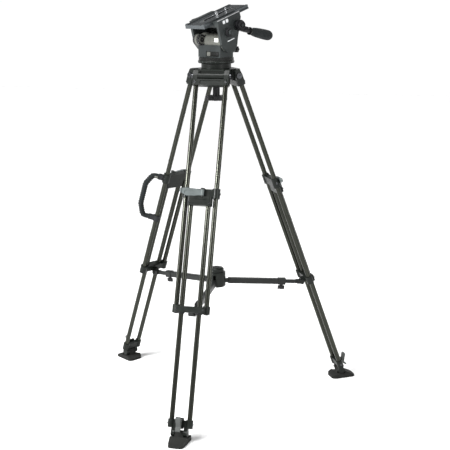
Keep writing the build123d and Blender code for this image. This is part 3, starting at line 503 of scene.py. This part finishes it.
# ---------------------------------------------------------------- legs
def leg_details(leg):
    """Seals, plugs and screws of one leg."""
    base = leg_place(leg)
    upper, lower = leg + "_leg", leg + "_lower_leg"
    seal = [(8.6, 0, False), (10.6, 0, False), (10.9, 1.2, False), (10.2, 3.4, False), (8.6, 3.8, False)]
    plug = [(7.8, 0, False), (7.8, 1.2, False), (6.6, 2.4, False), (3.0, 2.9, False)]
    for name, hand in (("a", 1), ("b", -1)):
        down = (0, 0, -1)
        at = facing(base, (INNER_D, hand * INNER_W, -BRACKET_END + 1.8), down)
        add(f"{leg}_tube_seal_{name}", turned(seal, 36, True), at, upper, "knob_black")
        at = facing(base, (0, hand * OUTER_W, -BRACKET_END + 0.6), down)
        add(f"{leg}_tube_plug_{name}", turned(plug, 32), at, upper, "mount_black")
        at = facing(base, (13, hand * 52, -27), (1, 0, 0))
        add(f"{leg}_casting_screw_{name}", socket_head(4.0, 2.0), at, upper, "bolt_steel")
        at = facing(base, (20, hand * 43, -763), (1, 0, 0))
        add(f"{leg}_bracket_screw_{name}", socket_head(3.2, 1.6), at, upper, "bolt_steel")
        at = facing(base, (21, hand * 34, -(CLAMP_TOP + 48)), (1, 0, 0))
        add(f"{leg}_clamp_screw_{name}", socket_head(3.4, 1.6), at, lower, "bolt_steel")
        at = facing(base, (INNER_D, hand * (INNER_W + 11.3), -1118), (0, hand, 0))
        add(f"{leg}_ankle_screw_{name}", socket_head(3.6, 1.6), at, lower, "bolt_steel")
        at = facing(base, (0, hand * (OUTER_W + 12.4), -(CLAMP_TOP + 16)), (0, hand, 0))
        add(f"{leg}_collar_screw_{name}", socket_head(3.8, 1.8), at, lower, "bolt_steel")


# ---------------------------------------------------------------- hub and handle
def hub_details():
    """Turned cap on top of the spreader hub."""
    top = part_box("spreader_hub")[1].z / MM
    at = facing(HEAD, (0, 0, top - 0.4), (0, 0, 1))
    rings = [(17.0, 0, False), (17.0, 0.8, False), (15.8, 1.3, False)]
    rings += [(7.0, 1.3, False), (6.0, 0.3, False)]
    add("hub_cap_disc", turned(rings, 48), at, "spreader_hub", "ring_black")


def handle_place():
    """Frame of the carry handle: x stands off the left leg's outer tube, z runs up the leg."""
    leg = leg_place("left")
    out, across, up = (leg.col[i].to_3d().normalized() for i in range(3))
    aside = (out + across).normalized()
    origin = leg @ Vector((0, OUTER_W, 0))
    return place(origin, aside, up.cross(aside), up)


def handle_path():
    """Centre line of the carry handle: straight runs joined by arcs."""
    top, end = -HANDLE_TOP, -HANDLE_END
    corners = [(24, top), (48, top), (66, -427), (66, -507), (50, end), (24, end)]
    points = [Vector(corners[0])]
    for before, corner, after in zip(corners, corners[1:], corners[2:]):
        back = (Vector(before) - Vector(corner)).normalized()
        ahead = (Vector(after) - Vector(corner)).normalized()
        half = back.angle(ahead) / 2
        centre = Vector(corner) + (back + ahead).normalized() * HANDLE_BEND / math.sin(half)
        first = Vector(corner) + back * HANDLE_BEND / math.tan(half)
        last = Vector(corner) + ahead * HANDLE_BEND / math.tan(half)
        turn = math.pi - 2 * half
        count = max(3, int(HANDLE_BEND * turn / RIB_STEP))
        for index in range(count + 1):
            a = (first - centre).normalized().slerp((last - centre).normalized(), index / count)
            points.append(centre + a * HANDLE_BEND)
    points.append(Vector(corners[-1]))
    return evenly(points, RIB_STEP)


def evenly(points, step):
    """Points resampled at an even spacing."""
    lengths = [0.0]
    for first, second in zip(points, points[1:]):
        lengths.append(lengths[-1] + (second - first).length)
    count = int(lengths[-1] / step)
    spaced, index = [], 0
    for number in range(count + 1):
        want = lengths[-1] * number / count
        while index < len(points) - 2 and lengths[index + 1] < want:
            index += 1
        gap = max(lengths[index + 1] - lengths[index], 1e-9)
        spaced.append(points[index].lerp(points[index + 1], (want - lengths[index]) / gap))
    return spaced


def ribbed_handle():
    """Ribbed rubber grip of the carry handle, in place of its plain solid."""
    path = handle_path()

    def build(bm):
        loops = []
        for index, centre in enumerate(path):
            before = path[max(index - 1, 0)]
            after = path[min(index + 1, len(path) - 1)]
            along = (after - before).normalized()
            across = Vector((-along.y, along.x))
            rib = RIB_HEIGHT * math.cos(index * math.pi / 2)
            from_end = min(index, len(path) - 1 - index)
            radius = (RIB_R + rib) if from_end > 10 else PLAIN_R + 1.6 * (from_end < 3)
            loop = []
            for number in range(28):
                a = 2 * math.pi * number / 28
                offset = across * radius * math.cos(a)
                loop.append(bm.verts.new((centre.x + offset.x, radius * math.sin(a), centre.y + offset.y)))
            loops.append(loop)
        for first, second in zip(loops, loops[1:]):
            stitch(bm, first, second)
        bm.faces.new(loops[0])
        bm.faces.new(loops[-1])

    grip = add("carry_handle_ribbed", build, handle_place(), "left_lower_leg", "grip_rubber")
    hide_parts("carry_handle_grip")
    badge = facing(handle_place(), (36, 9.9, -HANDLE_TOP), (0, 1, 0))
    add("handle_badge", pad(12, 7, 3.4, 0.7, 0.2), badge, "left_lower_leg", "housing_grey")


# ---------------------------------------------------------------- stage
def studio_surround():
    """Surround that is white along the horizon and dim overhead."""
    world = bpy.data.worlds.new("studio")
    world.use_nodes = True
    nodes, links = world.node_tree.nodes, world.node_tree.links
    direction = nodes.new("ShaderNodeTexCoord").outputs["Generated"]
    split = nodes.new("ShaderNodeSeparateXYZ")
    links.new(direction, split.inputs[0])
    fade = nodes.new("ShaderNodeMapRange")
    fade.interpolation_type = "SMOOTHSTEP"
    fade.inputs["From Min"].default_value = 0.12
    fade.inputs["From Max"].default_value = 0.5
    fade.inputs["To Min"].default_value = 1.02
    fade.inputs["To Max"].default_value = 0.04
    links.new(split.outputs["Z"], fade.inputs["Value"])
    back = nodes["Background"]
    back.inputs["Color"].default_value = (1.0, 1.0, 1.0, 1)
    links.new(fade.outputs["Result"], back.inputs["Strength"])
    bpy.context.scene.world = world
    bpy.context.scene.view_settings.view_transform = "Standard"


def floor_and_lights():
    """Plain pale floor, a white surround, a soft overhead and three soft lights."""
    mesh = bpy.data.meshes.new("floor")
    bm = bmesh.new()
    bmesh.ops.create_grid(bm, x_segments=8, y_segments=8, size=12.0)
    bm.to_mesh(mesh)
    bm.free()
    floor = bpy.data.objects.new("floor", mesh)
    bpy.context.scene.collection.objects.link(floor)
    s = Shader("floor_pale")
    s.constant(Specular_IOR_Level=0.2)
    pale = s.ramp(s.noise(2.0), [(0.3, (0.93, 0.93, 0.93)), (0.7, (0.95, 0.95, 0.95))])
    mesh.materials.append(s.done(pale, s.span(s.noise(5.0), 0.7, 0.8)))
    studio_surround()
    sun = bpy.data.lights.new("overhead", "SUN")
    sun.energy = 3.7
    sun.angle = math.radians(30)
    hung = bpy.data.objects.new("overhead", sun)
    hung.rotation_euler = (math.radians(28), math.radians(-20), 0)
    bpy.context.scene.collection.objects.link(hung)
    lights = (
        ("key", (-2.3, -2.2, 2.2), 0.6, 165.0),
        ("fill", (2.6, -1.6, 1.7), 0.6, 40.0),
        ("rim", (0.6, 3.0, 2.6), 1.4, 30.0),
    )
    middle = Vector((0, spot("pan").y, 0.75))
    for name, at, size, power in lights:
        data = bpy.data.lights.new(name, "AREA")
        data.energy = power
        data.size = size
        lamp = bpy.data.objects.new(name, data)
        lamp.location = at
        lamp.rotation_euler = (middle - Vector(at)).to_track_quat("-Z", "Y").to_euler()
        bpy.context.scene.collection.objects.link(lamp)


def camera():
    """The photograph's viewpoint: from the front, a little to the right and above."""
    data = bpy.data.cameras.new("camera")
    data.sensor_width = 36.0
    data.lens = 82.02
    data.clip_end = 60.0
    seen_from = bpy.data.objects.new("camera", data)
    seen_from.location = PAN + Vector((0.8515, -3.3091, 1.3368))
    seen_from.rotation_euler = (math.radians(77.687), 0, math.radians(13.945))
    bpy.context.scene.collection.objects.link(seen_from)
    bpy.context.scene.camera = seen_from


# ---------------------------------------------------------------- build
camera()
floor_and_lights()
dress_cad()
cheek_details()
front_panels()
pan_base_details()
dial_details()
plate_details()
pan_bar_details()
for leg in LEGS:
    leg_details(leg)
hub_details()
ribbed_handle()
